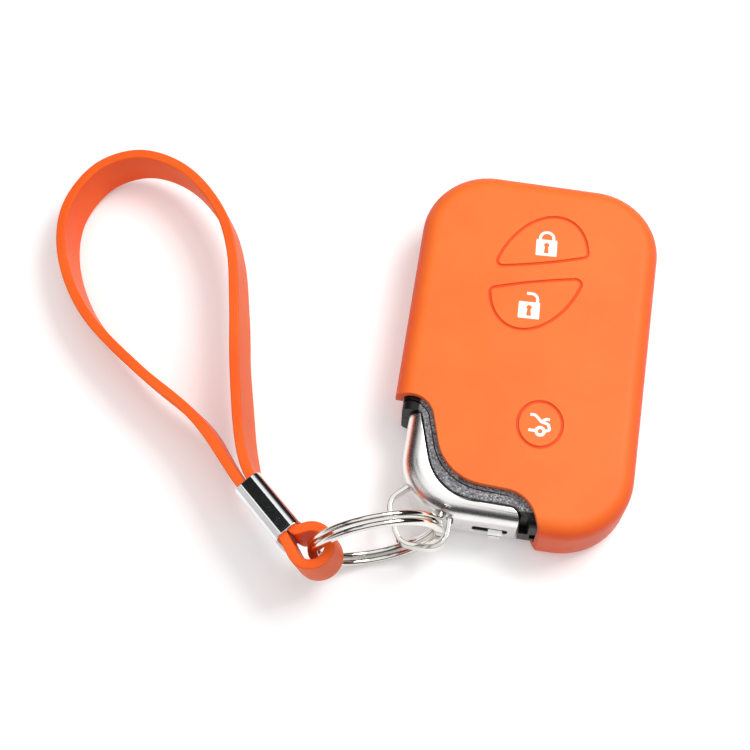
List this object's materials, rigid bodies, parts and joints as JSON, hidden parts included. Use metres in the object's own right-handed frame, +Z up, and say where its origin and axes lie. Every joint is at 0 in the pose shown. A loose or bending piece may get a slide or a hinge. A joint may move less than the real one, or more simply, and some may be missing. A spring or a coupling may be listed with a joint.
{
  "type": "key fob cover",
  "caption": "Soft silicone sleeve on a rounded smart-key fob, open at one corner round a metal emergency key, with press pads, split ring and wrist strap.",
  "frame": {"origin": "centre of the sleeve's flat bottom face, on the table", "axes": "+Z up out of the button face, +Y along the fob to its lock-button end, +X to the side away from the wrist strap"},
  "size_m": [0.1188, 0.0855, 0.0248],
  "materials": {
    "silicone": "smooth matt orange silicone",
    "strap_silicone": "smooth matt orange silicone",
    "casing": "fine-speckled dark grey moulding",
    "button_plastic": "satin black moulding",
    "satin_metal": "satin silver plating on a casting",
    "blade_steel": "milled steel",
    "nickel": "polished nickel plating",
    "chrome": "bright polished",
    "board": "green solder mask",
    "black_plastic": "moulded black",
    "ferrite": "sintered grey",
    "contact_metal": "plated spring strip",
    "cell_steel": "nickel-plated steel can"
  },
  "bodies": {
    "fob": {"cover_skin": "silicone", "front_housing": "casing", "rear_housing": "casing", "trim_strip": "casing", "circuit_board": "board", "switch_bodies": "black_plastic", "board_screws": "blade_steel", "coin_cell": "cell_steel", "cell_clip": "contact_metal", "cell_spring": "contact_metal", "antenna": "ferrite", "control_chip": "black_plastic"},
    "lock": {"lock_pad": "silicone", "lock_button": "button_plastic", "lock_plunger": "black_plastic"},
    "unlock": {"unlock_pad": "silicone", "unlock_button": "button_plastic", "unlock_plunger": "black_plastic"},
    "boot": {"boot_pad": "silicone", "boot_button": "button_plastic", "boot_plunger": "black_plastic"},
    "key": {"key_head": "satin_metal", "key_blade": "blade_steel", "blade_pin": "blade_steel", "ring_lug": "nickel", "lug_rivet": "satin_metal", "latch_spring": "contact_metal"},
    "latch": {"release_latch": "satin_metal"},
    "ring": {"split_ring": "nickel"},
    "strap": {"strap": "strap_silicone", "strap_ferrule": "chrome"}
  },
  "joints": [
    {"name": "lock_press", "type": "slide", "parent": "fob", "child": "lock", "axis": [0, 0, -1], "range_m": [0, 0.0004], "stiffness_N_per_m": 1500},
    {"name": "unlock_press", "type": "slide", "parent": "fob", "child": "unlock", "axis": [0, 0, -1], "range_m": [0, 0.0004], "stiffness_N_per_m": 1500},
    {"name": "boot_press", "type": "slide", "parent": "fob", "child": "boot", "axis": [0, 0, -1], "range_m": [0, 0.0004], "stiffness_N_per_m": 1500},
    {"name": "key_slide", "type": "slide", "parent": "fob", "child": "key", "axis": [0, -1, 0], "range_m": [0, 0.058]},
    {"name": "latch_slide", "type": "slide", "parent": "key", "child": "latch", "axis": [-1, 0, 0], "range_m": [0, 0.0026], "stiffness_N_per_m": 150, "deforming": ["latch_spring"]},
    {"name": "ring_swing", "type": "hinge", "parent": "key", "child": "ring", "pos_m": [-0.0122, -0.0375, 0.0082], "axis": [0, 0, 1], "range_deg": [-15, 60]},
    {"name": "strap_swing", "type": "hinge", "parent": "ring", "child": "strap", "pos_m": [-0.03264, -0.04494, 0.012], "axis": [0, 0, 1], "range_deg": [-15, 40]}
  ]
}
